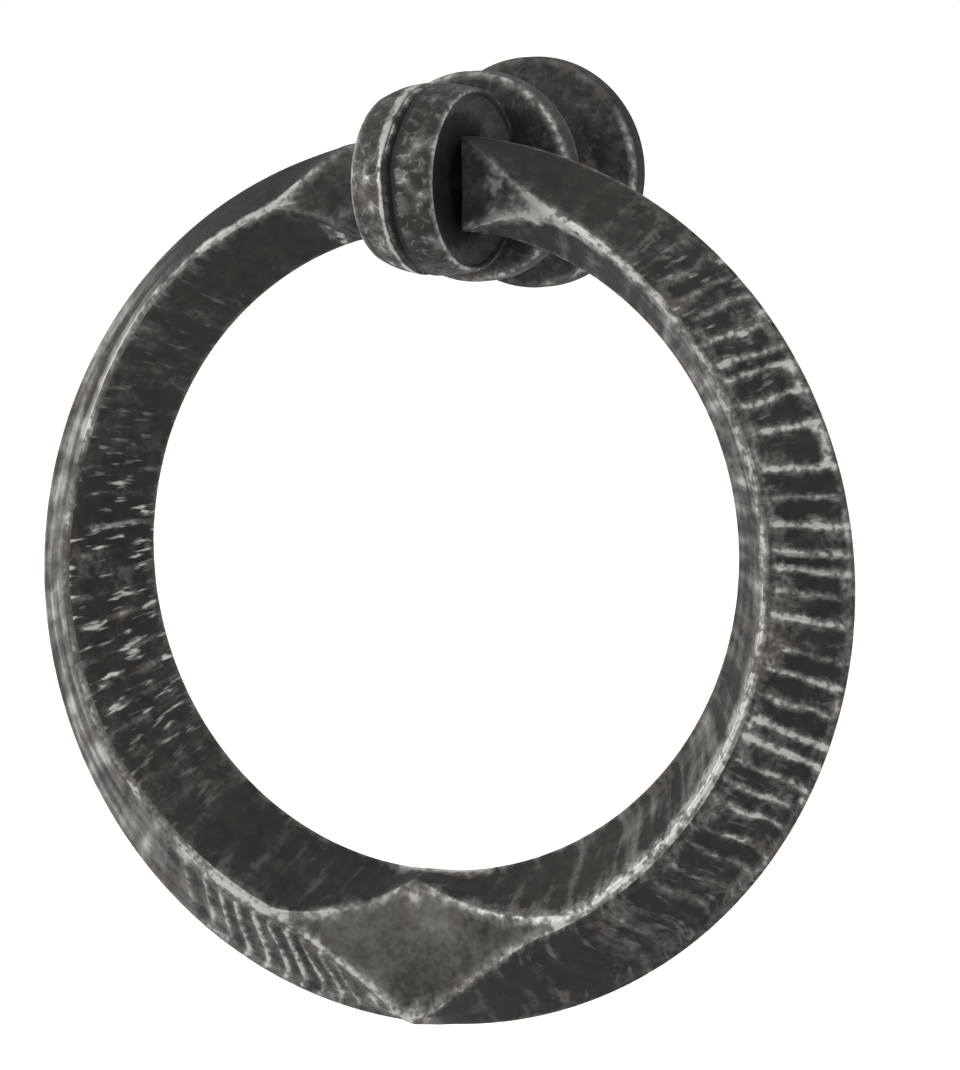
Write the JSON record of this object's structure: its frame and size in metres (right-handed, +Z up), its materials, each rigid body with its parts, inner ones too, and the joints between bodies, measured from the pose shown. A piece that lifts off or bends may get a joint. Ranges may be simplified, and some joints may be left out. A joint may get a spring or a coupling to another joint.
{
  "type": "ring pull cabinet knob",
  "caption": "Rustic forged iron ring pull: a cast knob post with a collar and a barrel head, and a heavy hammered ring hung through the head.",
  "frame": {"origin": "centre of the foot's back face, which lies on the door, at the mouth of the screw hole", "axes": "+Y into the door, along the screw; -Y towards the person who pulls; +Z up; +X to the right for a person who faces the door"},
  "size_m": [0.07, 0.0294, 0.0757],
  "materials": {
    "post_iron": "dark waxed casting, worn bright at its edges",
    "ring_iron": "dark waxed forging, hammered, worn bright at its ridges"
  },
  "bodies": {
    "post": {"knob_post": "post_iron"},
    "ring": {"ring": "ring_iron"}
  },
  "joints": [
    {"name": "ring_swing", "type": "hinge", "parent": "post", "child": "ring", "pos_m": [0, -0.01875, 0], "axis": [-1, 0, 0], "range_deg": [-13, 193]}
  ]
}
